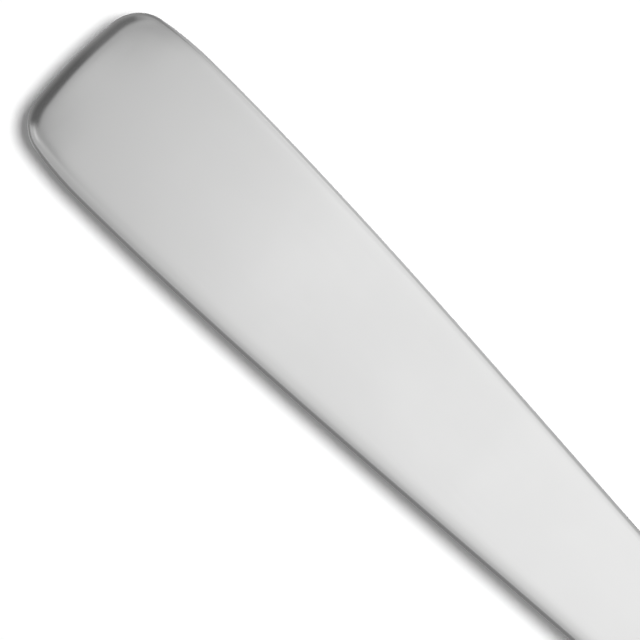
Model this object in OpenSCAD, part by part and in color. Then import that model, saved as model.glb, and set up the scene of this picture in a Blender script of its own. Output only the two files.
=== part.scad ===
// Butter knife with a hollow handle.
// Two pressed steel shells are brazed together along their rims and filled with cement. A bolster
// is brazed on the handle's mouth, and the blade's tang passes through it into the cement.
// The knife lies on its side: X runs from the handle's end to the blade's tip, the spine faces +Y,
// and the origin is under the knife's middle, in the plane of the handle's lower flat face.

/* [Handle] */
// Length of the two shells, from the end to the mouth
handle_l = 88; // [75:1:120]
// Greatest width of the handle
handle_w = 19.2; // [17:0.1:24]
// Thickness over the two flat faces
handle_t = 7; // [6:0.1:9]
// Width of the handle at its mouth
mouth_w = 11; // [10.4:0.1:14]
// Narrowing of each side at the mouth, per mm of length
mouth_slope = 0.05; // [0:0.005:0.1]
// Radius of the bowed end, seen from above
end_r = 60; // [40:1:150]
// Radius of the end's two corners, seen from above
corner_r = 4; // [3.2:0.1:5]
// Turn of the side at the place where a corner passes into the flare
corner_turn = 80; // [72:1:86]
// Radius of the flare between a corner and the widest place
flare_r = 38; // [20:1:55]
// Width of the rounded edge, seen from above
edge_w = 3; // [2:0.1:3.6]
// Squareness of the rounded edge, with 2 for an ellipse
edge_n = 5; // [2:0.1:7]
// Length over which the flat faces fall towards the end
fall_l = 32; // [16:1:60]
// Height by which each flat face has fallen at the end
fall_h = 0.8; // [0.1:0.05:1.2]

/* [Shells and joints] */
// Sheet thickness of the two shells
shell_wall = 0.8; // [0.5:0.05:1.1]
// Thickness of the braze between the shells' rims
seam_t = 0.2; // [0.1:0.05:0.4]
// Thickness of the braze between the handle's mouth and the bolster
mouth_braze_t = 0.2; // [0.1:0.05:0.4]
// Clearance round the cement, the tang and the bolster's spigot
fit_gap = 0.05; // [0.02:0.01:0.1]

/* [Bolster] */
// Length of the bolster outside the handle
bolster_l = 9; // [6:0.5:14]
// Width of the bolster's front face
bolster_front_w = 10.6; // [10:0.1:13]
// Thickness of the bolster's front face
bolster_front_t = 3.4; // [2.8:0.1:5]
// Width of the rounded edge at the bolster's front face
bolster_front_edge = 4.2; // [2:0.1:4.6]
// Squareness of the rounded edge at the bolster's front face
bolster_front_n = 2.6; // [2:0.1:5]
// Depth of the spigot that enters the handle's mouth
spigot_l = 2.5; // [1:0.1:5]

/* [Blade] */
// Length of the blade in front of the bolster
blade_l = 80; // [72:1:110]
// Width of the blade at the bolster
root_w = 9.2; // [8:0.1:9.8]
// Height of the spine above the handle's axis at its highest place
spine_y = 7; // [4.8:0.1:9]
// Distance from the bolster to the spine's highest place
spine_x = 62; // [45:1:66]
// Depth of the edge below the handle's axis at its lowest place
belly_y = 9.4; // [6:0.1:9.6]
// Distance from the bolster to the edge's lowest place
belly_x = 60; // [45:1:64]
// Depth of the tip below the handle's axis
tip_y = 0.8; // [-2:0.1:4]
// Thickness of the spine at the bolster
spine_t = 2; // [1.6:0.1:2.5]
// Thickness of the blunt edge at its lowest place
edge_t = 0.7; // [0.5:0.05:1.2]
// Thickness of the blade at the tip
tip_t = 1; // [0.8:0.05:1.5]

/* [Tang] */
// Length of the tang inside the handle
tang_l = 46; // [20:1:60]
// Width of the tang
tang_w = 6.4; // [4.5:0.1:7]
// Thickness of the tang, which is thinner than the blade so that the blade covers its slot
tang_t = 1.3; // [0.9:0.05:1.4]
// Cut-off at the two corners of the tang's end
tang_chamfer = 1.5; // [0.5:0.1:2]
// Radius of the four notches that key the tang into the cement
notch_r = 1; // [0.6:0.1:1.4]
// Distance from the tang's end to the first pair of notches
notch_x = 8; // [5:0.5:10]
// Distance between the two pairs of notches
notch_pitch = 14; // [4:0.5:25]

/* [Hidden] */
$fn = 48;
steel = [0.78, 0.78, 0.77];
braze = [0.80, 0.72, 0.50];
cement = [0.55, 0.53, 0.50];

// Steps of the curves: along the handle's end, corner, flare, falling part and flat part,
// over the rounded edge, along the bolster and along each of the blade's four curves
end_steps = 4;
corner_steps = 9;
flare_steps = 4;
fall_steps = 7;
flat_steps = 12;
edge_steps = 9;
bolster_steps = 12;
blade_steps = 16;

// A corner keeps this radius inside the rounded edge
least_r = 0.4;
// A hollow is cut this far past the faces that it opens through
cut = 1;
edge = min(edge_w, corner_r - least_r);
// Share of a curve's length that its handles take: for a round tip and for a soft sweep
round_pull = 0.55;
sweep_pull = 0.5;

// Places along the knife, from the handle's end
bolster_x = handle_l + mouth_braze_t;
blade_x = bolster_x + bolster_l;
knife_l = blade_x + blade_l;
core_l = handle_l - spigot_l - fit_gap;

// The handle's outline is three arcs, each tangent to the next, and a taper to the mouth
end_half_y = handle_w / 2 - corner_r * sin(corner_turn) - flare_r * (1 - sin(corner_turn));
end_turn = asin(end_half_y / (end_r - corner_r));
end_centre = [end_r, 0];
corner_centre = end_centre + (end_r - corner_r) * out(end_turn);
flare_centre = corner_centre + (corner_r - flare_r) * out(corner_turn);
widest_x = flare_centre.x;

// Thickness of the blade as a plane through its three stated thicknesses
blade_det = belly_x * (-tip_y - root_w / 2) + blade_l * (belly_y + root_w / 2);
edge_thinning = edge_t - spine_t;
tip_thinning = tip_t - spine_t;
thin_x = (edge_thinning * (-tip_y - root_w / 2) + tip_thinning * (belly_y + root_w / 2)) / blade_det;
thin_y = (belly_x * tip_thinning - blade_l * edge_thinning) / blade_det;

// Outward direction at a place of the outline, from the end's middle (0) to the side (90)
function out(turn) = [-cos(turn), sin(turn)];

function arc(centre, r, from, to, steps) =
    [for (i = [0 : steps - 1]) centre + r * out(from + (to - from) * i / steps)];

// Half width of the handle from its widest place to the mouth, as a cubic
function half_width(x) =
    let(run = handle_l - widest_x, s = (x - widest_x) / run)
    handle_w / 2 + (mouth_w - handle_w) / 2 * s * s * (3 - 2 * s)
        + mouth_slope * run * s * s * (1 - s);

function half_height(x) = handle_t / 2 - fall_h * pow(max(0, 1 - x / fall_l), 2);

// Points of the taper between two places, set in from the outline
function taper(from, to, inset, steps) =
    [for (i = [0 : steps - 1])
        let(x = from + (to - from) * i / steps) [x, half_width(x) - inset]];

// One side of the outline, set in, from the end's middle to the place x_end
function side(inset, x_end) = concat(
    arc(end_centre, end_r - inset, 0, end_turn, end_steps),
    arc(corner_centre, corner_r - inset, end_turn, corner_turn, corner_steps),
    arc(flare_centre, flare_r - inset, corner_turn, 90, flare_steps),
    taper(widest_x, fall_l, inset, fall_steps),
    taper(fall_l, x_end, inset, flat_steps),
    [[x_end, half_width(x_end) - inset]]);

// The whole outline, set in, from the -Y side round the end to the +Y side
function outline(inset, x_end) =
    let(s = side(inset, x_end), n = len(s))
    concat([for (i = [n - 1 : -1 : 1]) [s[i].x, -s[i].y]], s);

// Share of the rounded edge's width and height at step k, from the rim to the flat face
function edge_share(k, n) =
    let(a = 90 * k / edge_steps)
    [pow(max(0, cos(a)), 2 / n), pow(max(0, sin(a)), 2 / n)];

// One row of points on the skin that lies a depth inside the handle's surface, above the plane low_z
function skin_row(k, depth, low_z, x_end) =
    let(share = edge_share(k, edge_n))
    [for (p = outline(depth + (edge - depth) * (1 - share[0]), x_end))
        [p.x, p.y, low_z + (half_height(p.x) - depth - low_z) * share[1]]];

function skin_rows(depth, low_z, x_end) =
    [for (k = [0 : edge_steps]) skin_row(k, depth, low_z, x_end)];

function moved_down(row, by) = [for (p = row) p - [0, 0, by]];

function upside_down(rows) =
    [for (k = [len(rows) - 1 : -1 : 0]) [for (p = rows[k]) [p.x, p.y, -p.z]]];

function quad(a, b, c, d) = b == c ? [[a, b, d]] : [[a, b, c], [a, c, d]];

function turned(faces) = [for (f = faces) [f[2], f[1], f[0]]];

// Faces across one row, from each point to its twin on the other side of the handle
function cover(cols, first) =
    [for (j = [0 : (cols - 3) / 2])
        each quad(first + j, first + j + 1, first + cols - 2 - j, first + cols - 1 - j)];

// Closed ring of a rounded section, as seen from the tip: half width, half height, edge width
function ring(w, h, e, n) =
    let(q = [for (k = [0 : edge_steps]) let(s = edge_share(k, n)) [w - e + e * s[0], h * s[1]]])
    concat(
        q,
        [for (k = [edge_steps : -1 : 0]) [-q[k].x, q[k].y]],
        [for (k = [1 : edge_steps]) [-q[k].x, -q[k].y]],
        [for (k = [edge_steps : -1 : 1]) [q[k].x, -q[k].y]]);

// Ring of the handle's mouth, a depth inside its surface
function mouth_ring(depth) =
    ring(mouth_w / 2 - depth, handle_t / 2 - depth, edge - depth, edge_n);

function blend(from, to, s) = from + (to - from) * s * s * (3 - 2 * s);

// Ring of the bolster, with s from 0 at the handle to 1 at the blade
function bolster_ring(s) = ring(
    blend(mouth_w, bolster_front_w, s) / 2,
    blend(handle_t, bolster_front_t, s) / 2,
    blend(edge, bolster_front_edge, s),
    blend(edge_n, bolster_front_n, s));

function at_x(points, x) = [for (p = points) [x, p.x, p.y]];

// Cubic curve without its last point
function curve(a, b, c, d) =
    [for (i = [0 : blade_steps - 1])
        let(s = i / blade_steps, r = 1 - s)
        r * r * r * a + 3 * r * r * s * b + 3 * r * s * s * c + s * s * s * d];

function blade_outline() = concat(
    curve([0, root_w / 2], [spine_x * sweep_pull, root_w / 2],
          [spine_x * (1 - sweep_pull), spine_y], [spine_x, spine_y]),
    curve([spine_x, spine_y], [spine_x + (blade_l - spine_x) * round_pull, spine_y],
          [blade_l, -tip_y + (spine_y + tip_y) * round_pull], [blade_l, -tip_y]),
    curve([blade_l, -tip_y], [blade_l, -tip_y - (belly_y - tip_y) * round_pull],
          [belly_x + (blade_l - belly_x) * round_pull, -belly_y], [belly_x, -belly_y]),
    curve([belly_x, -belly_y], [belly_x * (1 - sweep_pull), -belly_y],
          [belly_x * sweep_pull, -root_w / 2], [0, -root_w / 2]),
    [[0, -root_w / 2]]);

function blade_t(x, y) = spine_t + thin_x * x + thin_y * (y - root_w / 2);

// From the handle's end and middle plane to the knife's place on the table
module place() {
    translate([-knife_l / 2, 0, handle_t / 2])
        children();
}

// Closed solid over rows of points that are stacked upwards
module stack(rows) {
    cols = len(rows[0]);
    last = len(rows) - 1;
    walls = [for (k = [0 : last - 1], j = [0 : cols - 2])
        let(a = k * cols + j)
        each quad(a, a + 1, a + cols + 1, a + cols)];
    mouth = [for (k = [0 : last - 1])
        each quad(k * cols, (k + 1) * cols, (k + 2) * cols - 1, (k + 1) * cols - 1)];
    polyhedron(
        points = [for (row = rows) each row],
        faces = concat(walls, cover(cols, last * cols), turned(cover(cols, 0)), mouth));
}

// The upper half of the handle, hollowed from its rim and its mouth
module shell() {
    hollow = skin_rows(shell_wall, seam_t / 2, handle_l + cut);
    difference() {
        stack(skin_rows(0, seam_t / 2, handle_l));
        stack(concat([moved_down(hollow[0], cut)], hollow));
    }
}

module handle_upper_shell() {
    color(steel)
        place()
            shell();
}

module handle_lower_shell() {
    color(steel)
        place()
            mirror([0, 0, 1])
                shell();
}

module seam_braze() {
    rim_in = outline(shell_wall, handle_l);
    color(braze)
        place()
            translate([0, 0, -seam_t / 2])
                linear_extrude(seam_t)
                    polygon(concat(
                        outline(0, handle_l),
                        [for (i = [len(rim_in) - 1 : -1 : 0]) rim_in[i]]));
}

module mouth_braze() {
    color(braze)
        place()
            translate([handle_l, 0, 0])
                rotate([90, 0, 90])
                    linear_extrude(mouth_braze_t)
                        difference() {
                            polygon(mouth_ring(0));
                            polygon(mouth_ring(shell_wall));
                        }
}

// Plan of the tang from its end to the blade, grown all round for the place that it fills
module tang_plan(grown) {
    tang_x = handle_l - tang_l;
    half = tang_w / 2 + grown;
    difference() {
        polygon([
            [tang_x - grown, half - tang_chamfer],
            [tang_x - grown + tang_chamfer, half],
            [blade_x, half],
            [blade_x, -half],
            [tang_x - grown + tang_chamfer, -half],
            [tang_x - grown, -half + tang_chamfer]
        ]);
        for (x = [notch_x, notch_x + notch_pitch], y = [-tang_w / 2, tang_w / 2])
            translate([tang_x + x, y])
                circle(notch_r - grown);
    }
}

module tang(grown) {
    thickness = tang_t + 2 * grown;
    translate([0, 0, -thickness / 2])
        linear_extrude(thickness)
            tang_plan(grown);
}

module cement_core() {
    upper = skin_rows(shell_wall + fit_gap, 0, core_l);
    lower = upside_down([for (k = [1 : edge_steps]) upper[k]]);
    color(cement)
        place()
            difference() {
                stack(concat(lower, upper));
                tang(fit_gap);
            }
}

module bolster() {
    spigot = mouth_ring(shell_wall + fit_gap);
    rings = concat(
        [at_x(spigot, handle_l - spigot_l), at_x(spigot, bolster_x)],
        [for (i = [0 : bolster_steps])
            at_x(bolster_ring(i / bolster_steps), bolster_x + bolster_l * i / bolster_steps)]);
    n = len(spigot);
    last = len(rings) - 1;
    walls = [for (s = [0 : last - 1], i = [0 : n - 1])
        let(next = (i + 1) % n)
        each quad(s * n + i, (s + 1) * n + i, (s + 1) * n + next, s * n + next)];
    color(steel)
        place()
            difference() {
                polyhedron(
                    points = [for (r = rings) each r],
                    faces = concat(
                        walls,
                        [[for (i = [0 : n - 1]) i]],
                        [[for (i = [n - 1 : -1 : 0]) last * n + i]]));
                tang(fit_gap);
            }
}

module blade_body() {
    low = -belly_y;
    corners = [[0, low], [blade_l, low], [blade_l, spine_y], [0, spine_y]];
    translate([blade_x, 0, 0])
        intersection() {
            translate([0, 0, -spine_t])
                linear_extrude(2 * spine_t)
                    polygon(blade_outline());
            polyhedron(
                points = concat(
                    [for (c = corners) [c.x, c.y, -blade_t(c.x, c.y) / 2]],
                    [for (c = corners) [c.x, c.y, blade_t(c.x, c.y) / 2]]),
                faces = concat(
                    quad(0, 1, 2, 3), quad(7, 6, 5, 4), quad(0, 4, 5, 1),
                    quad(1, 5, 6, 2), quad(2, 6, 7, 3), quad(3, 7, 4, 0)));
        }
}

module blade() {
    color(steel)
        place() {
            blade_body();
            tang(0);
        }
}

handle_upper_shell();
handle_lower_shell();
seam_braze();
mouth_braze();
cement_core();
bolster();
blade();
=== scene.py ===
import math

import bmesh
import bpy
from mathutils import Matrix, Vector


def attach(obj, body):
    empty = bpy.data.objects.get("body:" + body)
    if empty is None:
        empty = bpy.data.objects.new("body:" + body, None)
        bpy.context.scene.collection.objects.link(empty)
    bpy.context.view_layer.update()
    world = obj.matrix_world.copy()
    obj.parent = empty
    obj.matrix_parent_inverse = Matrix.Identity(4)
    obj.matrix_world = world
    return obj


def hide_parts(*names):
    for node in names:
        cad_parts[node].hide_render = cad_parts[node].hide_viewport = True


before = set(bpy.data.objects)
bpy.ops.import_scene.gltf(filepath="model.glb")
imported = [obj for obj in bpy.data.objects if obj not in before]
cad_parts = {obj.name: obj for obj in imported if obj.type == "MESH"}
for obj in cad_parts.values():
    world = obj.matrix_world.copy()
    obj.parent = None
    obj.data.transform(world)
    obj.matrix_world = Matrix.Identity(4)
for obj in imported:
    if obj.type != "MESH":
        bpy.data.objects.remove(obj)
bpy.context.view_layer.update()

# The two handle shells.
# Twin pans pressed from stainless sheet, with a bowed end, tightly rounded edges and flat faces that
# fall a little towards the end. They meet rim to rim and are polished as one.
mm = 0.001
knife_l = 177.2 * mm
handle_l = 88 * mm
handle_w = 19.2 * mm
handle_t = 7 * mm
mouth_w = 11 * mm
mouth_slope = 0.05
end_r = 60 * mm
corner_r = 4 * mm
corner_turn = math.radians(80)
flare_r = 38 * mm
edge_w = 3 * mm
edge_n = 5
fall_l = 32 * mm
fall_h = 0.8 * mm
crown_r = 142 * mm
corner_fall_l = 6.5 * mm
corner_crown_r = 70 * mm
shell_wall = 0.8 * mm
seam_t = 0.2 * mm
taper_steps, flare_steps, corner_steps, end_steps, edge_steps = 30, 5, 14, 10, 24
crease = math.radians(35)
tiny = 0.001 * mm

end_x = -knife_l / 2
mouth_x = end_x + handle_l
middle_z = handle_t / 2
rim_z = middle_z + seam_t / 2
pan_h = handle_t / 2 - seam_t / 2


def outward(turn):
    """Direction in the handle's plan, turned from the way its end faces towards its side."""
    return Vector((-math.cos(turn), math.sin(turn)))


end_half = handle_w / 2 - corner_r * math.sin(corner_turn) - flare_r * (1 - math.sin(corner_turn))
end_turn = math.asin(end_half / (end_r - corner_r))
corner_c = Vector((end_r, 0)) + (end_r - corner_r) * outward(end_turn)
flare_c = corner_c + (corner_r - flare_r) * outward(corner_turn)


def half_width(u):
    """Half the handle's width between the flare and the mouth, at a distance from the end."""
    run = handle_l - flare_c.x
    s = (u - flare_c.x) / run
    return (handle_w + (mouth_w - handle_w) * s * s * (3 - 2 * s)) / 2 + mouth_slope * run * s * s * (1 - s)


def spaced(first, last, steps):
    """Values in equal steps from the first up to the last, which is left out."""
    return [first + (last - first) * i / steps for i in range(steps)]


def pick(kind, test):
    """Selects the vertices, edges or faces of the piece in edit mode that pass a test."""
    bpy.ops.mesh.select_mode(type=kind)
    bpy.ops.mesh.select_all(action="DESELECT")
    mesh = bmesh.from_edit_mesh(bpy.context.object.data)
    for part in {"VERT": mesh.verts, "EDGE": mesh.edges, "FACE": mesh.faces}[kind]:
        part.select_set(bool(test(part)))
    mesh.select_flush_mode()
    bmesh.update_edit_mesh(bpy.context.object.data)


def middle(part):
    return sum((v.co for v in part.verts), Vector()) / len(part.verts)


def choose(piece):
    """Makes a piece the only one that is selected, and the active one."""
    bpy.ops.object.select_all(action="DESELECT")
    piece.select_set(True)
    bpy.context.view_layer.objects.active = piece


def begin(name, primitive, **where):
    """Adds a primitive with nothing else selected, puts its place in its mesh and opens it for editing."""
    bpy.ops.object.select_all(action="DESELECT")
    primitive(**where)
    piece = bpy.context.object
    piece.name = piece.data.name = name
    bpy.ops.object.transform_apply(location=True, rotation=True, scale=True)
    bpy.ops.object.mode_set(mode="EDIT")
    return piece


def finish_with(piece, kind, **settings):
    """Adds a modifier to a piece and applies it."""
    choose(piece)
    modifier = piece.modifiers.new(kind.lower(), kind)
    for name, value in settings.items():
        setattr(modifier, name, value)
    bpy.ops.object.modifier_apply(modifier=modifier.name)


# The plan is drawn as a ladder from the mouth to the corners of the end.
stations = [(u, half_width(u)) for u in spaced(handle_l, flare_c.x, taper_steps)]
for centre, r, first, last, steps in ((flare_c, flare_r, math.radians(90), corner_turn, flare_steps),
                                      (corner_c, corner_r, corner_turn, end_turn, corner_steps)):
    stations += [tuple(centre + r * outward(turn)) for turn in spaced(first, last, steps)]
stations.append(tuple(corner_c + corner_r * outward(end_turn)))

upper_shell = begin("upper_shell", bpy.ops.mesh.primitive_plane_add,
                    size=mouth_w, location=(mouth_x - mouth_w / 2, 0, rim_z))
pick("VERT", lambda v: v.co.x < mouth_x - mouth_w / 2)
bpy.ops.transform.translate(value=(mouth_w + stations[1][0] - handle_l, 0, 0))
bpy.ops.transform.resize(value=(1, stations[1][1] / stations[0][1], 1),
                         center_override=(end_x + stations[1][0], 0, rim_z))
for (u_from, y_from), (u, y) in zip(stations[1:], stations[2:]):
    bpy.ops.mesh.extrude_edges_move(TRANSFORM_OT_translate={"value": (u - u_from, 0, 0)})
    bpy.ops.transform.resize(value=(1, y / y_from, 1), center_override=(end_x + u, 0, rim_z))

# The end's straight edge is cut into short ones, which are bowed out.
corner_u, corner_y = stations[-1]
bpy.ops.mesh.subdivide(number_cuts=end_steps - 1)
for y in spaced(-corner_y, corner_y, end_steps)[1:]:
    pick("VERT", lambda v: v.co.x < end_x + corner_u + tiny and abs(v.co.y - y) < tiny)
    bpy.ops.transform.translate(value=(end_r - math.sqrt(end_r ** 2 - y ** 2) - corner_u, 0, 0))

# The plan is raised to a slab, and its upper rim is rounded to the pan's section.
pick("FACE", lambda f: True)
bpy.ops.mesh.dissolve_faces()
pick("FACE", lambda f: True)
bpy.ops.mesh.extrude_region_move(TRANSFORM_OT_translate={"value": (0, 0, edge_w + tiny)})
top_z = rim_z + edge_w + tiny
pick("FACE", lambda f: middle(f).z < rim_z + tiny or middle(f).x > mouth_x - tiny)
bpy.ops.mesh.delete(type="ONLY_FACE")
pick("EDGE", lambda e: middle(e).z > top_z - tiny and middle(e).x < mouth_x - tiny)
bpy.ops.mesh.bevel(offset=edge_w, offset_type="OFFSET", segments=edge_steps, profile=2 ** (-2 / edge_n),
                   affect="EDGES", clamp_overlap=False)

bpy.ops.mesh.select_all(action="SELECT")
bpy.ops.transform.resize(value=(1, 1, pan_h / (edge_w + tiny)), center_override=(0, 0, rim_z))
bpy.ops.mesh.remove_doubles(threshold=2 * tiny)

# The broad face is laid in strips across the handle, and a last strip joins them to the bowed end.
inner_r = corner_r - edge_w
end_y = corner_c.y + inner_r * math.sin(end_turn)
first_y = corner_c.y + inner_r * math.sin(end_turn + (corner_turn - end_turn) / corner_steps)


def open_at_top(edge, y=handle_w):
    return (edge.is_boundary and abs(middle(edge).y) < y and middle(edge).x < mouth_x - tiny
            and middle(edge).z > middle_z + edge_w)


def at_end(edge):
    return abs(middle(edge).y) < first_y and middle(edge).x < end_x + edge_w + corner_r


pick("FACE", lambda f: len(f.verts) > 4)
bpy.ops.mesh.delete(type="ONLY_FACE")
pick("EDGE", lambda e: open_at_top(e) and not at_end(e))
bpy.ops.mesh.bridge_edge_loops(type="SINGLE", number_cuts=end_steps - 1, interpolation="LINEAR")
pick("EDGE", lambda e: open_at_top(e, end_y))
bpy.ops.mesh.bridge_edge_loops(type="SINGLE", interpolation="LINEAR")
bpy.ops.mesh.select_all(action="SELECT")
bpy.ops.mesh.delete_loose()
bpy.ops.object.mode_set(mode="OBJECT")

# The broad face falls towards the end, most at its corners, and is a little crowned. The whole section
# follows in proportion.
full_drop = 2 * fall_h
drop_group = upper_shell.vertex_groups.new(name="drop")
for v in upper_shell.data.vertices:
    u = v.co.x - end_x
    drop = fall_h * max(0, 1 - u / fall_l) ** 2
    drop += v.co.y ** 2 / 2 / crown_r * (1 - (u / handle_l) ** 4)
    drop += v.co.y ** 2 / 2 / corner_crown_r * max(0, 1 - u / corner_fall_l) ** 2
    drop_group.add([v.index], drop / full_drop * (v.co.z - rim_z) / pan_h, "REPLACE")
finish_with(upper_shell, "DISPLACE", direction="Z", strength=-full_drop, mid_level=0, vertex_group="drop")
upper_shell.vertex_groups.clear()

# The lower pan is the upper one turned over.
bpy.ops.object.duplicate()
lower_shell = bpy.context.object
lower_shell.name = lower_shell.data.name = "lower_shell"
bpy.ops.object.mode_set(mode="EDIT")
bpy.ops.mesh.select_all(action="SELECT")
bpy.ops.transform.resize(value=(1, 1, -1), center_override=(0, 0, middle_z))
bpy.ops.mesh.normals_make_consistent(inside=False)
bpy.ops.object.mode_set(mode="OBJECT")


def smooth(piece):
    """Shades a piece smooth between its creases."""
    choose(piece)
    bpy.ops.object.shade_smooth_by_angle(angle=crease)


# The rims' line is kept for the braze, before the sheet gets its thickness.
choose(upper_shell)
bpy.ops.object.mode_set(mode="EDIT")
pick("EDGE", lambda e: e.is_boundary and middle(e).x < mouth_x - tiny)
bpy.ops.mesh.duplicate()
bpy.ops.mesh.separate(type="SELECTED")
bpy.ops.object.mode_set(mode="OBJECT")
seam = next(o for o in bpy.context.selected_objects if o is not upper_shell)

for shell in (upper_shell, lower_shell):
    finish_with(shell, "SOLIDIFY", thickness=shell_wall, offset=-1, use_even_offset=True)
    smooth(shell)


# The finish of polished table steel, in three shared effects. Lines of the polishing wheel, hair
# scratches from use and the smudges of handling each read a place in millimetres.
def effect(name, inputs, output):
    """Starts a shader node group with named sockets and returns it with its two end nodes."""
    group = bpy.data.node_groups.new(name, "ShaderNodeTree")
    for title, kind, value in inputs:
        socket = group.interface.new_socket(title, in_out="INPUT", socket_type=kind)
        socket.default_value = value
    group.interface.new_socket(output, in_out="OUTPUT", socket_type="NodeSocketFloat")
    return group, group.nodes.new("NodeGroupInput"), group.nodes.new("NodeGroupOutput")


def add(tree, kind, settings=(), **inputs):
    """Adds a node, sets its properties and fills its inputs with values or with other sockets."""
    node = tree.nodes.new(kind)
    for name, value in dict(settings).items():
        setattr(node, name, value)
    for name, value in inputs.items():
        socket = node.inputs[int(name[2:])] if name.startswith("in") else node.inputs[name]
        if isinstance(value, bpy.types.NodeSocket):
            tree.links.new(value, socket)
        else:
            socket.default_value = value
    return node


def calc(tree, operation, *values, clamp=False):
    """Adds a calculation with numbers or sockets and returns its result."""
    inputs = {f"in{i}": value for i, value in enumerate(values)}
    return add(tree, "ShaderNodeMath", {"operation": operation, "use_clamp": clamp}, **inputs).outputs[0]


def mapped(tree, value, first, last, low=0.0, high=1.0):
    """Maps the range from first to last onto the one from low to high, and stops at its ends."""
    return add(tree, "ShaderNodeMapRange", in0=value, in1=first, in2=last, in3=low, in4=high).outputs[0]


polish_lines, group_in, group_out = effect(
    "polish_lines", [("Place", "NodeSocketVector", (0, 0, 0)), ("Stretch", "NodeSocketVector", (1, 1, 1))],
    "Lines")
drawn = add(polish_lines, "ShaderNodeVectorMath", {"operation": "MULTIPLY"},
            in0=group_in.outputs["Place"], in1=group_in.outputs["Stretch"])
lines = add(polish_lines, "ShaderNodeTexNoise", Vector=drawn.outputs[0], Scale=1.0,
            Detail=4.0, Roughness=0.65)
polish_lines.links.new(lines.outputs[0], group_out.inputs["Lines"])

hair_scratches, group_in, group_out = effect(
    "hair_scratches", [("Place", "NodeSocketVector", (0, 0, 0)), ("Stretch", "NodeSocketVector", (1, 1, 1)),
                       ("Width", "NodeSocketFloat", 0.05)], "Mask")
wander = add(hair_scratches, "ShaderNodeTexNoise", Vector=group_in.outputs["Place"], Scale=0.06, Detail=1.0)
shifted = add(hair_scratches, "ShaderNodeVectorMath", {"operation": "MULTIPLY_ADD"},
              in0=wander.outputs["Color"], in1=(2.0, 2.0, 2.0), in2=group_in.outputs["Place"])
drawn = add(hair_scratches, "ShaderNodeVectorMath", {"operation": "MULTIPLY"},
            in0=shifted.outputs[0], in1=group_in.outputs["Stretch"])
cells = add(hair_scratches, "ShaderNodeTexVoronoi", Vector=drawn.outputs[0], Scale=1.0)
mask = mapped(hair_scratches, cells.outputs["Distance"], group_in.outputs["Width"], 0.0)
hair_scratches.links.new(mask, group_out.inputs["Mask"])

smudges, group_in, group_out = effect(
    "smudges", [("Place", "NodeSocketVector", (0, 0, 0)), ("Size", "NodeSocketFloat", 20.0)], "Mask")
clouds = add(smudges, "ShaderNodeTexNoise", Vector=group_in.outputs["Place"],
             Scale=calc(smudges, "DIVIDE", 1.0, group_in.outputs["Size"]), Detail=3.0, Roughness=0.55)
smudges.links.new(mapped(smudges, clouds.outputs[0], 0.35, 0.65), group_out.inputs["Mask"])


def material(name):
    """Starts a material and returns it with its node tree and its Principled shader."""
    made = bpy.data.materials.new(name)
    made.use_nodes = True
    return made, made.node_tree, made.node_tree.nodes["Principled BSDF"]


def place_in_mm(tree):
    """The place on a piece, in millimetres."""
    place = add(tree, "ShaderNodeTexCoord").outputs["Object"]
    return add(tree, "ShaderNodeMapping", Vector=place, Scale=(1 / mm, 1 / mm, 1 / mm)).outputs[0]


def placed(tree, group, **inputs):
    """Places a shared effect in a material and returns what it puts out."""
    return add(tree, "ShaderNodeGroup", {"node_tree": group}, **inputs).outputs[0]


def two_tone(tree, share, light, dull):
    """Mixes a light and a dull tone by the share of the dull one."""
    mix = add(tree, "ShaderNodeMix", {"data_type": "RGBA"}, in0=share, in6=(*light, 1), in7=(*dull, 1))
    return mix.outputs[2]


scratch_w = 0.045
scratch_share = 0.5
scratch_depth = -0.8
smudge_size = 18.0


def polished_steel(name, light, dull, shine, lines_along, scratches_along, line_share, line_depth):
    """Stainless steel: two tones, a range of roughness, the run of its lines and scratches, and how far
    the lines show in the tone and in the relief."""
    steel, tree, surface = material(name)
    surface.inputs["Metallic"].default_value = 1
    place = place_in_mm(tree)
    lines = placed(tree, polish_lines, Place=place, Stretch=lines_along)
    marks = placed(tree, hair_scratches, Place=place, Stretch=scratches_along, Width=scratch_w)
    touched = placed(tree, smudges, Place=place, Size=smudge_size)
    worn = calc(tree, "MULTIPLY_ADD", marks, scratch_share, touched)
    worn = mapped(tree, calc(tree, "MULTIPLY_ADD", lines, line_share, worn), 0.0, 1 + line_share)
    relief = calc(tree, "MULTIPLY_ADD", marks, scratch_depth, lines)
    bump = add(tree, "ShaderNodeBump", Height=relief, Strength=0.25, Distance=line_depth)
    tree.links.new(two_tone(tree, worn, light, dull), surface.inputs["Base Color"])
    tree.links.new(mapped(tree, worn, 0.0, 1.0, *shine), surface.inputs["Roughness"])
    tree.links.new(bump.outputs[0], surface.inputs["Normal"])
    return steel


handle_steel = polished_steel(
    "polished_handle_steel", light=(0.855, 0.855, 0.853), dull=(0.813, 0.813, 0.811), shine=(0.18, 0.23),
    lines_along=(0.12, 6, 6), scratches_along=(0.09, 1.3, 1.3), line_share=1, line_depth=0.002 * mm)
for shell, node in ((upper_shell, "handle_upper_shell"), (lower_shell, "handle_lower_shell")):
    shell.data.materials.append(handle_steel)
    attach(shell, "root")
    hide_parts(node)

# The braze between the shells' rims.
# Silver braze, run in between the rims of the two pans and polished flush with them. From the side it
# is a hair line along the middle of the handle.
seam.name = seam.data.name = "seam"
choose(seam)
bpy.ops.object.mode_set(mode="EDIT")
pick("EDGE", lambda e: True)
bpy.ops.mesh.extrude_edges_move(TRANSFORM_OT_translate={"value": (0, 0, -seam_t)})
bpy.ops.mesh.select_all(action="SELECT")
bpy.ops.mesh.normals_make_consistent(inside=False)
bpy.ops.object.mode_set(mode="OBJECT")
finish_with(seam, "SOLIDIFY", thickness=shell_wall, offset=-1, use_even_offset=True)
smooth(seam)

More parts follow.
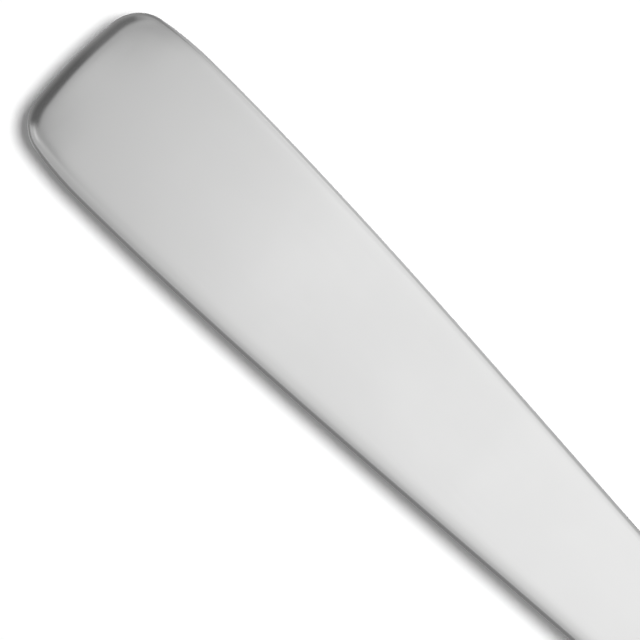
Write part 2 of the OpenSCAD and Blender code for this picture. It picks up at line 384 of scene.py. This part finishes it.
# The braze is a warm pale metal with a fine cast grain.
braze, tree, surface = material("silver_braze")
surface.inputs["Metallic"].default_value = 1
grain = placed(tree, smudges, Place=place_in_mm(tree), Size=1.5)
tone = two_tone(tree, grain, light=(0.76, 0.74, 0.68), dull=(0.7, 0.67, 0.6))
bump = add(tree, "ShaderNodeBump", Height=grain, Strength=0.3, Distance=0.01 * mm)
tree.links.new(tone, surface.inputs["Base Color"])
tree.links.new(mapped(tree, grain, 0.0, 1.0, 0.28, 0.42), surface.inputs["Roughness"])
tree.links.new(bump.outputs[0], surface.inputs["Normal"])
seam.data.materials.append(braze)
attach(seam, "root")
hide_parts("seam_braze")

# The bolster.
# A small steel forging between handle and blade. It starts at the handle's own section and slims to a
# low oval, with a spigot into the handle's mouth and a slot through which the tang passes.
mouth_braze_t = 0.2 * mm
fit_gap = 0.05 * mm
bolster_l = 9 * mm
bolster_front_w = 10.6 * mm
bolster_front_t = 3.4 * mm
bolster_front_edge = 4.2 * mm
bolster_front_n = 2.6
spigot_l = 2.5 * mm
tang_w = 6.4 * mm
tang_t = 1.3 * mm
bolster_x = mouth_x + mouth_braze_t
blade_x = bolster_x + bolster_l
slot_cut_l = 40 * mm
bolster_cuts, section_steps = 15, 12


def section(x, w, t, edge, n):
    """Draws a rounded section of the knife on a plane that was just added and is selected."""
    bpy.ops.transform.resize(value=(1, w / mm, 2 * edge / mm), center_override=(x, 0, middle_z))
    bpy.ops.mesh.bevel(offset=edge, offset_type="OFFSET", segments=section_steps, profile=2 ** (-2 / n),
                       affect="VERTICES", clamp_overlap=False)
    pick("VERT", lambda v: abs(v.co.x - x) < tiny)
    bpy.ops.mesh.remove_doubles(threshold=tiny)
    bpy.ops.transform.resize(value=(1, 1, t / (2 * edge)), center_override=(x, 0, middle_z))


bolster = begin("bolster_forging", bpy.ops.mesh.primitive_plane_add,
                size=mm, location=(bolster_x, 0, middle_z), rotation=(0, -math.pi / 2, 0))
section(bolster_x, mouth_w, handle_t, edge_w, edge_n)
bpy.ops.mesh.select_all(action="DESELECT")
bpy.ops.mesh.primitive_plane_add(size=mm, location=(blade_x, 0, middle_z), rotation=(0, math.pi / 2, 0))
section(blade_x, bolster_front_w, bolster_front_t, bolster_front_edge, bolster_front_n)
pick("FACE", lambda f: True)
bpy.ops.mesh.delete(type="ONLY_FACE")
pick("EDGE", lambda e: True)
bpy.ops.mesh.bridge_edge_loops(type="SINGLE", number_cuts=bolster_cuts, interpolation="LINEAR")

# The cuts between the two sections are drawn towards the ends, so that the slope eases in and out.
for i in range(1, bolster_cuts + 1):
    share = i / (bolster_cuts + 1)
    x = bolster_x + bolster_l * share
    eased = 0.5 - math.sin(math.asin(1 - 2 * share) / 3)
    pick("VERT", lambda v: abs(v.co.x - x) < tiny)
    bpy.ops.transform.translate(value=(bolster_l * (eased - share), 0, 0))

# The front is closed, and the spigot is drawn out of the back.
for x in (blade_x, bolster_x):
    pick("EDGE", lambda e: e.is_boundary and abs(middle(e).x - x) < tiny)
    bpy.ops.mesh.edge_face_add()
bpy.ops.mesh.inset(thickness=shell_wall + fit_gap, use_even_offset=True)
bpy.ops.mesh.extrude_region_move(TRANSFORM_OT_translate={"value": (-spigot_l - mouth_braze_t, 0, 0)})
bpy.ops.mesh.select_all(action="SELECT")
bpy.ops.mesh.normals_make_consistent(inside=False)
bpy.ops.object.mode_set(mode="OBJECT")

# The slot for the tang is cut right through.
slot_w = tang_w + 2 * fit_gap
slot_t = tang_t + 2 * fit_gap
slot_cutter = begin("slot_cutter", bpy.ops.mesh.primitive_cube_add, size=mm,
                    location=(bolster_x, 0, middle_z), scale=(slot_cut_l / mm, slot_w / mm, slot_t / mm))
bpy.ops.object.mode_set(mode="OBJECT")
finish_with(bolster, "BOOLEAN", object=slot_cutter, operation="DIFFERENCE", solver="EXACT")
bpy.data.objects.remove(slot_cutter)
smooth(bolster)

bolster_steel = polished_steel(
    "polished_bolster_steel", light=(0.79, 0.79, 0.785), dull=(0.76, 0.76, 0.758), shine=(0.16, 0.26),
    lines_along=(5, 0.25, 0.25), scratches_along=(1.3, 0.3, 0.3), line_share=1.5, line_depth=0.004 * mm)
bolster.data.materials.append(bolster_steel)
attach(bolster, "root")
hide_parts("bolster")

# The braze between the handle's mouth and the bolster.
# A thin ring of silver braze on the shells' front edges, polished flush with both sides.
mouth_ring = begin("mouth_ring", bpy.ops.mesh.primitive_plane_add,
                   size=mm, location=(mouth_x, 0, middle_z), rotation=(0, -math.pi / 2, 0))
section(mouth_x, mouth_w, handle_t, edge_w, edge_n)
pick("FACE", lambda f: True)
bpy.ops.mesh.inset(thickness=shell_wall, use_even_offset=True)
bpy.ops.mesh.delete(type="FACE")
pick("FACE", lambda f: True)
bpy.ops.mesh.extrude_region_move(TRANSFORM_OT_translate={"value": (mouth_braze_t, 0, 0)})
bpy.ops.mesh.select_all(action="SELECT")
bpy.ops.mesh.normals_make_consistent(inside=False)
bpy.ops.object.mode_set(mode="OBJECT")
smooth(mouth_ring)
mouth_ring.data.materials.append(braze)
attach(mouth_ring, "root")
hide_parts("mouth_braze")

# The blade and its tang.
# One blank of 2 mm stainless sheet, ground thinner towards the blunt edge and the round tip. Its thinner
# tang passes through the bolster into the cement, which keys into its four notches.
blade_l = 80 * mm
root_w = 9.2 * mm
spine_t = 2 * mm
spine_y = 7 * mm
spine_x = 62 * mm
belly_y = 9.4 * mm
belly_x = 60 * mm
tip_y = 0.8 * mm
edge_t = 0.7 * mm
tip_t = 1 * mm
tang_l = 46 * mm
tang_chamfer = 1.5 * mm
tang_overlap = 2 * mm
notch_r = 1 * mm
notch_x = 8 * mm
notch_pitch = 14 * mm
edge_ease = 0.26 * mm
round_pull, sweep_pull = 0.55, 0.5
tip_turn = math.radians(88.5)
sharp_turn = math.radians(57)
blade_steps, tip_steps, notch_steps, ease_steps = 26, 22, 8, 4
halvings = 50


def height_on(curve, x):
    """Height of a cubic curve that runs along X, at the place x, which is found by halving."""
    low, high = 0, 1
    for _ in range(halvings):
        s = (low + high) / 2
        place = ((1 - s) ** 3 * curve[0] + 3 * (1 - s) ** 2 * s * curve[1]
                 + 3 * (1 - s) * s ** 2 * curve[2] + s ** 3 * curve[3])
        low, high = (s, high) if place.x < x else (low, s)
    return place.y


def sweep(x, y, side):
    """Curve of one side of the blade, from its root to its widest place."""
    return [Vector(p) for p in ((0, side * root_w / 2), (x * sweep_pull, side * root_w / 2),
                                (x * (1 - sweep_pull), side * y), (x, side * y))]


def rounding(x, y, side):
    """Curve of one side of the blade, from its widest place to the tip."""
    return [Vector(p) for p in ((x, side * y), (x + (blade_l - x) * round_pull, side * y),
                                (blade_l, -tip_y + (side * y + tip_y) * round_pull), (blade_l, -tip_y))]


def outline_y(x, turn_x, y, side):
    return height_on(sweep(turn_x, y, side) if x < turn_x else rounding(turn_x, y, side), x)


def blank(name, rungs, thickness):
    """Draws a sheet blank from rungs across its plan, each a place with its lower and upper side."""
    (x, low, high), (x_next, low_next, high_next) = rungs[:2]
    sheet = begin(name, bpy.ops.mesh.primitive_plane_add, size=mm,
                  location=(x + mm / 2, (low + high) / 2, middle_z - thickness / 2))
    pick("VERT", lambda v: v.co.x < x + tiny)
    bpy.ops.transform.resize(value=(1, (high - low) / mm, 1),
                             center_override=(x, (low + high) / 2, middle_z))
    pick("EDGE", lambda e: middle(e).x > x + mm - tiny)
    bpy.ops.transform.translate(value=(x_next - x - mm, (low_next + high_next - low - high) / 2, 0))
    bpy.ops.transform.resize(value=(1, (high_next - low_next) / mm, 1),
                             center_override=(x_next, (low_next + high_next) / 2, middle_z))
    for (x_from, low_from, high_from), (x, low, high) in zip(rungs[1:], rungs[2:]):
        rise = (low + high - low_from - high_from) / 2
        bpy.ops.mesh.extrude_edges_move(TRANSFORM_OT_translate={"value": (x - x_from, rise, 0)})
        bpy.ops.transform.resize(value=(1, (high - low) / (high_from - low_from), 1),
                                 center_override=(x, (low + high) / 2, middle_z))
    pick("FACE", lambda f: True)
    bpy.ops.mesh.dissolve_faces()
    pick("FACE", lambda f: True)
    bpy.ops.mesh.extrude_region_move(TRANSFORM_OT_translate={"value": (0, 0, thickness)})
    bpy.ops.mesh.select_all(action="SELECT")
    bpy.ops.mesh.normals_make_consistent(inside=False)
    return sheet


half = tang_w / 2
tang_x = mouth_x - tang_l
tang_rungs = [(tang_x, -half + tang_chamfer, half - tang_chamfer), (tang_x + tang_chamfer, -half, half)]
for x in (tang_x + notch_x, tang_x + notch_x + notch_pitch):
    for turn in spaced(0, math.pi, notch_steps) + [math.pi]:
        inner = half - notch_r * math.sin(turn)
        tang_rungs.append((x - notch_r * math.cos(turn), -inner, inner))
tang_rungs.append((blade_x + tang_overlap, -half, half))
tang = blank("tang", tang_rungs, tang_t)
bpy.ops.object.mode_set(mode="OBJECT")

tip_turns = spaced(0, tip_turn, tip_steps) + [tip_turn]
blade_rungs = []
for x in spaced(0, belly_x, blade_steps) + [belly_x + (blade_l - belly_x) * math.sin(a) for a in tip_turns]:
    blade_rungs.append((blade_x + x, outline_y(x, belly_x, belly_y, -1), outline_y(x, spine_x, spine_y, 1)))
blade = blank("blade_and_tang", blade_rungs, spine_t)

# Both faces are ground down to the planes through the thicknesses at the root, the belly and the tip.
tip_down = tip_y + root_w / 2
belly_down = belly_y + root_w / 2
spread = blade_l * belly_down - belly_x * tip_down
thin_x = ((tip_t - spine_t) * belly_down - (edge_t - spine_t) * tip_down) / spread
thin_y = (belly_x * (tip_t - spine_t) - blade_l * (edge_t - spine_t)) / spread
for side in (1, -1):
    bpy.ops.mesh.select_all(action="SELECT")
    bpy.ops.mesh.bisect(plane_co=(blade_x, root_w / 2, middle_z + side * spine_t / 2),
                        plane_no=(-thin_x / 2, -thin_y / 2, side), use_fill=True, clear_outer=True,
                        threshold=tiny / 10)

# The spine, the edge and the tip are eased.
pick("EDGE", lambda e: e.is_manifold and e.calc_face_angle() > sharp_turn and middle(e).x > blade_x + tiny)
bpy.ops.mesh.bevel(offset=edge_ease, offset_type="OFFSET", segments=ease_steps, profile=0.5, affect="EDGES")
bpy.ops.mesh.select_all(action="SELECT")
bpy.ops.mesh.normals_make_consistent(inside=False)
bpy.ops.object.mode_set(mode="OBJECT")
finish_with(blade, "BOOLEAN", object=tang, operation="UNION", solver="EXACT")
bpy.data.objects.remove(tang)
smooth(blade)
finish_with(blade, "WEIGHTED_NORMAL", keep_sharp=True)

blade_steel = polished_steel(
    "ground_blade_steel", light=(0.8, 0.8, 0.796), dull=(0.68, 0.68, 0.678), shine=(0.14, 0.26),
    lines_along=(2.2, 0.06, 0.3), scratches_along=(0.09, 1.3, 1.3), line_share=2, line_depth=0.006 * mm)
blade.data.materials.append(blade_steel)
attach(blade, "root")
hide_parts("blade")

# The cement.
# Poured in through the mouth, it fills the hollow of the shells and holds the tang. It keeps the
# solid's own shape, and gets the sandy grain of set cement.
cement, tree, surface = material("set_cement")
place = place_in_mm(tree)
sand = add(tree, "ShaderNodeTexNoise", Vector=place, Scale=2.5, Detail=6.0, Roughness=0.7).outputs[0]
patches = placed(tree, smudges, Place=place, Size=6.0)
mixed = calc(tree, "MULTIPLY_ADD", patches, 0.4, sand)
tone = two_tone(tree, mixed, light=(0.42, 0.4, 0.37), dull=(0.62, 0.6, 0.56))
bump = add(tree, "ShaderNodeBump", Height=sand, Strength=0.5, Distance=0.1 * mm)
tree.links.new(tone, surface.inputs["Base Color"])
tree.links.new(mapped(tree, sand, 0.3, 0.7, 0.8, 0.95), surface.inputs["Roughness"])
tree.links.new(bump.outputs[0], surface.inputs["Normal"])
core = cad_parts["cement_core"]
core.data.materials.clear()
core.data.materials.append(cement)

# The table.
# A plain white sheet, wide enough to fill the view from any side. It stays white where the knife's
# shadow doesn't fall.
table_w = 12
table_z = -0.02 * mm
table_glow = 0.1


def seen(tree):
    """The rays from the camera, and those that come by way of steel or glass."""
    ray = add(tree, "ShaderNodeLightPath")
    direct = calc(tree, "ADD", ray.outputs["Is Camera Ray"], ray.outputs["Is Glossy Ray"])
    return calc(tree, "ADD", direct, ray.outputs["Is Transmission Ray"], clamp=True)


floor = begin("table", bpy.ops.mesh.primitive_plane_add, size=table_w, location=(0, 0, table_z))
bpy.ops.object.mode_set(mode="OBJECT")
sheet, tree, surface = material("white_sheet")
surface.inputs["Base Color"].default_value = (0.9, 0.9, 0.9, 1)
surface.inputs["Roughness"].default_value = 0.9
surface.inputs["Specular IOR Level"].default_value = 0
surface.inputs["Emission Color"].default_value = (1, 1, 1, 1)
tree.links.new(calc(tree, "MULTIPLY", seen(tree), table_glow), surface.inputs["Emission Strength"])
floor.data.materials.append(sheet)

# The grey card.
# A wide flat card under the knife that glows with set greys and shows only in the steel's reflections, as a
# painted reflection of shade. It gives the rounded edges their dark outline against the white table. It is
# paler along the knife's spine side, and at one corner a pale patch paints a highlight on the end's rim.
card_w = 3
card_z = -0.01 * mm
card_tone = 0.22
# The pale corner patch is a painted highlight on the rim of the end's left corner.
pale_corner = (-88 * mm, -9 * mm, 0)
pale_tone = 0.46


def ramp(tree, value, first, last, *stops):
    """Adds a ramp of greys over a range, with its stops as places and levels, and returns its colour."""
    node = add(tree, "ShaderNodeValToRGB", Fac=mapped(tree, value, first, last))
    points = node.color_ramp.elements
    for point, (place, level) in zip(points, (stops[0], stops[-1])):
        point.position = place
        point.color = (level, level, level, 1)
    for place, level in stops[1:-1]:
        points.new(place).color = (level, level, level, 1)
    return node.outputs[0]


def unlit(name):
    """Starts a material that only glows, and returns it with its node tree and its shader."""
    paper, tree, surface = material(name)
    surface.inputs["Base Color"].default_value = (0, 0, 0, 1)
    surface.inputs["Specular IOR Level"].default_value = 0
    surface.inputs["Emission Strength"].default_value = 1
    return paper, tree, surface


def show_in_steel_only(piece):
    """Hides a piece from all but the steel's reflections."""
    piece.visible_camera = False
    piece.visible_diffuse = False
    piece.visible_shadow = False
    piece.visible_transmission = False


card = begin("grey_card", bpy.ops.mesh.primitive_plane_add, size=card_w, location=(0, 0, card_z))
bpy.ops.object.mode_set(mode="OBJECT")
grey, tree, surface = unlit("grey_card")
place = add(tree, "ShaderNodeTexCoord").outputs["Object"]
parts = add(tree, "ShaderNodeSeparateXYZ", in0=place).outputs
# Painted reflection: the card's grey is darker off the end, and paler towards the spine side and far from
# the knife.
paling = ramp(tree, parts["Y"], 0.0, 40 * mm, (0.18, 0), (0.25, 0.37), (0.3, 0.35), (0.4, 0.31),
              (0.6, 0.45), (1, 0.66))
off_end = ramp(tree, parts["X"], -88 * mm, -8 * mm, (0, 0.05), (0.02, 0.42), (0.05, 0.68), (0.115, 0.84),
               (0.2, 1), (0.45, 1), (0.85, 0.8))
off_corner = add(tree, "ShaderNodeVectorMath", {"operation": "DISTANCE"}, in0=place, in1=pale_corner)
tone = mapped(tree, off_corner.outputs["Value"], 2.6 * mm, 4 * mm, pale_tone, card_tone)
tone = calc(tree, "MULTIPLY_ADD", paling, off_end, tone)
for axis, near, far, change in (("Y", -14 * mm, -80 * mm, 0.3), ("X", -90 * mm, -110 * mm, 0.06)):
    tone = calc(tree, "ADD", tone, mapped(tree, parts[axis], near, far, 0.0, change))
tree.links.new(tone, surface.inputs["Emission Color"])
card.data.materials.append(grey)
show_in_steel_only(card)

# The flag.
# A small dark card that glows with set greys, stands just off the handle's end and shows only in the
# steel's reflections. It draws the dark band along the end as a painted reflection, and its top and sides
# fade out.
flag_gap = 1 * mm
flag_w = 120 * mm
flag_tilt = 0.12

flag = begin("flag", bpy.ops.mesh.primitive_plane_add, size=flag_w,
             location=(end_x - flag_gap, 0, flag_w / 2), rotation=(0, math.pi / 2, 0))
bpy.ops.object.mode_set(mode="OBJECT")
dark, tree, surface = unlit("dark_flag")
parts = add(tree, "ShaderNodeSeparateXYZ", in0=add(tree, "ShaderNodeTexCoord").outputs["Object"]).outputs
tone = mapped(tree, parts["Y"], 0.0, 3 * mm, 0.122, 0.16)
foot = ramp(tree, parts["Z"], 4 * mm, 7 * mm, (0, 0.14), (0.3, 0.13), (0.57, 0.06), (1, 0))
tree.links.new(calc(tree, "ADD", tone, foot), surface.inputs["Emission Color"])
sides = ramp(tree, parts["Y"], -12 * mm, 22 * mm, (0.04, 0), (0.085, 1), (0.615, 1), (0.641, 0.7),
             (0.72, 0.35), (0.88, 0))
tilted = calc(tree, "MULTIPLY_ADD", parts["Y"], flag_tilt, parts["Z"])
top = ramp(tree, tilted, 10 * mm, 13 * mm, (0.07, 1), (0.25, 0.75), (0.45, 0.5), (0.7, 0.25), (1, 0))
tree.links.new(calc(tree, "MULTIPLY", sides, top), surface.inputs["Alpha"])
flag.data.materials.append(dark)
show_in_steel_only(flag)

# The light.
# A broad soft key from overhead, on the right of the picture, and a pale studio that the steel reflects.
# The studio darkens towards the handle's end, and a small bright patch in it lights one corner of the end.
key_from = Vector((0.222, 0.228, 1))
ambient_level = 0.13
beyond_tilt = 0.1
lean_share, lean_most = 0.3, -0.22
low_slant = -0.5
patch_from = (-0.51, -0.62, 0.6)
patch_level = 0.28

key = bpy.data.lights.new("key", "SUN")
key.energy = 2.95
key.angle = math.radians(17)
key_lamp = bpy.data.objects.new("key", key)
bpy.context.collection.objects.link(key_lamp)
key_lamp.rotation_euler = key_from.to_track_quat("Z", "Y").to_euler()
key_lamp.visible_glossy = False

world = bpy.data.worlds.new("studio")
bpy.context.scene.world = world
world.use_nodes = True
tree = world.node_tree
tree.nodes.clear()
direction = add(tree, "ShaderNodeTexCoord").outputs["Generated"]
parts = add(tree, "ShaderNodeSeparateXYZ", in0=direction).outputs
along = ramp(tree, parts["X"], -1.0, 1.0, (0, 0.8), (0.2, 0.68), (0.35, 0.48), (0.41, 0.575), (0.45, 0.775),
             (0.485, 0.925), (0.505, 1), (0.535, 1), (0.56, 0.98), (0.66, 0.98), (0.8, 0.74), (1, 0.61))
across = ramp(tree, parts["Y"], -1.0, 1.0, (0, 0.5), (0.19, 0.72), (0.375, 0.83), (0.5, 1), (0.85, 1),
              (1, 0.87))
shade = calc(tree, "MULTIPLY", along, across)

# Beyond the handle's end the studio darkens to both sides, which shows in the end's corners.
beyond = calc(tree, "MULTIPLY_ADD", parts["Y"], beyond_tilt, parts["X"])
beyond = mapped(tree, beyond, -0.15, -0.26)
lean = ramp(tree, parts["Y"], -0.5, 0.5, (0.05, 0), (0.22, 0.2), (0.38, 0.867), (0.5, 0.667), (0.62, 0.3),
            (0.72, 0))
lean = calc(tree, "MULTIPLY_ADD", lean, lean_share, lean_most)
lean = calc(tree, "MULTIPLY_ADD", lean, beyond, 1.0)
shade = calc(tree, "MULTIPLY", shade, lean)

# Far to the left it stays paler, for the left corner, and the patch is that corner's highlight.
slant = calc(tree, "MULTIPLY_ADD", parts["X"], low_slant, parts["Y"])
low_band = ramp(tree, slant, -1.0, 0.0, (0.1, 0.45), (0.5, 0.47), (0.62, 0.54), (0.7, 0.47), (0.78, 0.34),
                (0.85, 0.17), (0.95, 0.12))
shade = calc(tree, "MAXIMUM", shade, low_band)
off_patch = add(tree, "ShaderNodeVectorMath", {"operation": "DISTANCE"}, in0=direction, in1=patch_from)
patch = mapped(tree, off_patch.outputs["Value"], 0.04, 0.2, patch_level, 0.0)
shade = calc(tree, "ADD", shade, patch)

seen_studio = add(tree, "ShaderNodeBackground", Color=shade, Strength=1.0).outputs[0]
ambient = add(tree, "ShaderNodeBackground", Color=(1, 1, 1, 1), Strength=ambient_level).outputs[0]
both = add(tree, "ShaderNodeMixShader", in0=seen(tree), in1=ambient, in2=seen_studio)
add(tree, "ShaderNodeOutputWorld", Surface=both.outputs[0])

# The camera.
# Straight above, close to the handle's end, and turned so that the knife runs down to the right.
camera = bpy.data.cameras.new("camera")
camera.lens = 200
camera.sensor_width = 36
camera_body = bpy.data.objects.new("camera", camera)
bpy.context.collection.objects.link(camera_body)
camera_body.location = (-52.8 * mm, -1.15 * mm, 359.1 * mm)
camera_body.rotation_euler = (0, 0, math.radians(44.76))
bpy.context.scene.camera = camera_body
bpy.context.scene.view_settings.view_transform = "Standard"
